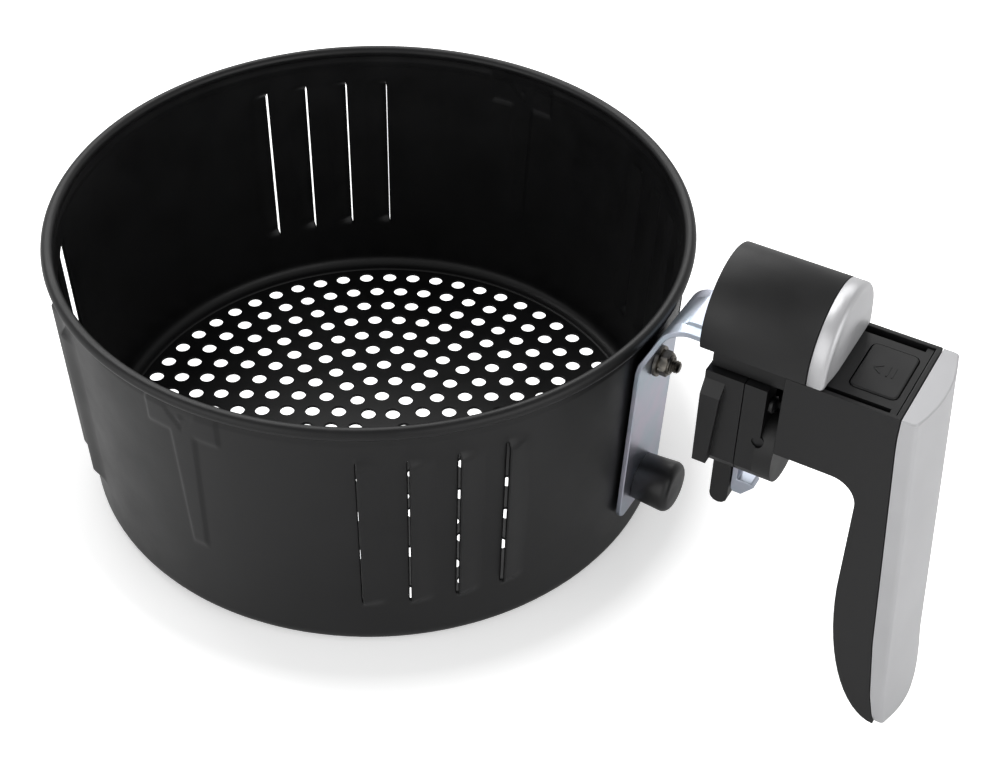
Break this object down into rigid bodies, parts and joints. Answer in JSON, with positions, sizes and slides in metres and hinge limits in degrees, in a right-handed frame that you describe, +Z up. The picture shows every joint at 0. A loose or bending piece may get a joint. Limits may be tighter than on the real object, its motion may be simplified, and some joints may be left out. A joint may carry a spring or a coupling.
{
  "type": "air fryer basket",
  "caption": "Round perforated frying basket with louvred walls and a bolted-on release handle that has a sliding button guard, a push button and a latch.",
  "frame": {"origin": "centre of the basket floor's underside, on the basket's axis", "axes": "+Z up along the basket's axis, +X from the basket to its handle"},
  "size_m": [0.295, 0.2, 0.1429],
  "materials": {
    "coated_steel": "black non-stick coating on drawn sheet steel, satin",
    "zinc_plated_steel": "bright zinc plating with a faint blue and lavender passivation",
    "screw_steel": "plain steel, darkened",
    "black_plastic": "heat-resistant moulded plastic, fine matt texture",
    "silver_plastic": "silver metallic paint on moulded plastic, satin",
    "rubber": "moulded rubber"
  },
  "bodies": {
    "basket": {"basket_wall": "coated_steel", "perforated_floor": "coated_steel", "handle_bracket": "zinc_plated_steel", "bracket_screw": "screw_steel", "bracket_washer": "screw_steel", "bracket_nut": "screw_steel", "bumper": "rubber", "bumper_screw": "screw_steel", "handle_body": "black_plastic", "back_trim": "silver_plastic", "deck_plate": "black_plastic", "neck_screw_front": "screw_steel", "neck_screw_rear": "screw_steel", "latch_housing_front": "black_plastic", "latch_housing_rear": "black_plastic", "housing_screw_left": "screw_steel", "housing_screw_right": "screw_steel", "lever_pin": "screw_steel", "lever_spring": "zinc_plated_steel", "button_spring": "zinc_plated_steel"},
    "guard": {"guard_hood": "black_plastic", "guard_cap": "silver_plastic", "guard_carriage": "black_plastic"},
    "button": {"release_button": "black_plastic"},
    "lever": {"release_lever": "black_plastic", "catch_hook": "zinc_plated_steel", "hook_rivet": "screw_steel"}
  },
  "joints": [
    {"name": "guard_slide", "type": "slide", "parent": "basket", "child": "guard", "axis": [1, 0, 0], "range_m": [0, 0.016]},
    {"name": "button_press", "type": "slide", "parent": "basket", "child": "button", "axis": [0, 0, -1], "range_m": [0, 0.0022], "stiffness_N_per_m": 600, "springref_m": -0.003, "deforming": ["button_spring"]},
    {"name": "lever_turn", "type": "hinge", "parent": "basket", "child": "lever", "pos_m": [0.1365, 0, 0.07], "axis": [0, 1, 0], "range_deg": [0, 4.5], "deforming": ["lever_spring"]}
  ],
  "couplings": [
    {"joint": "lever_turn", "follows": "button_press", "rad_per_m": 35.09}
  ]
}
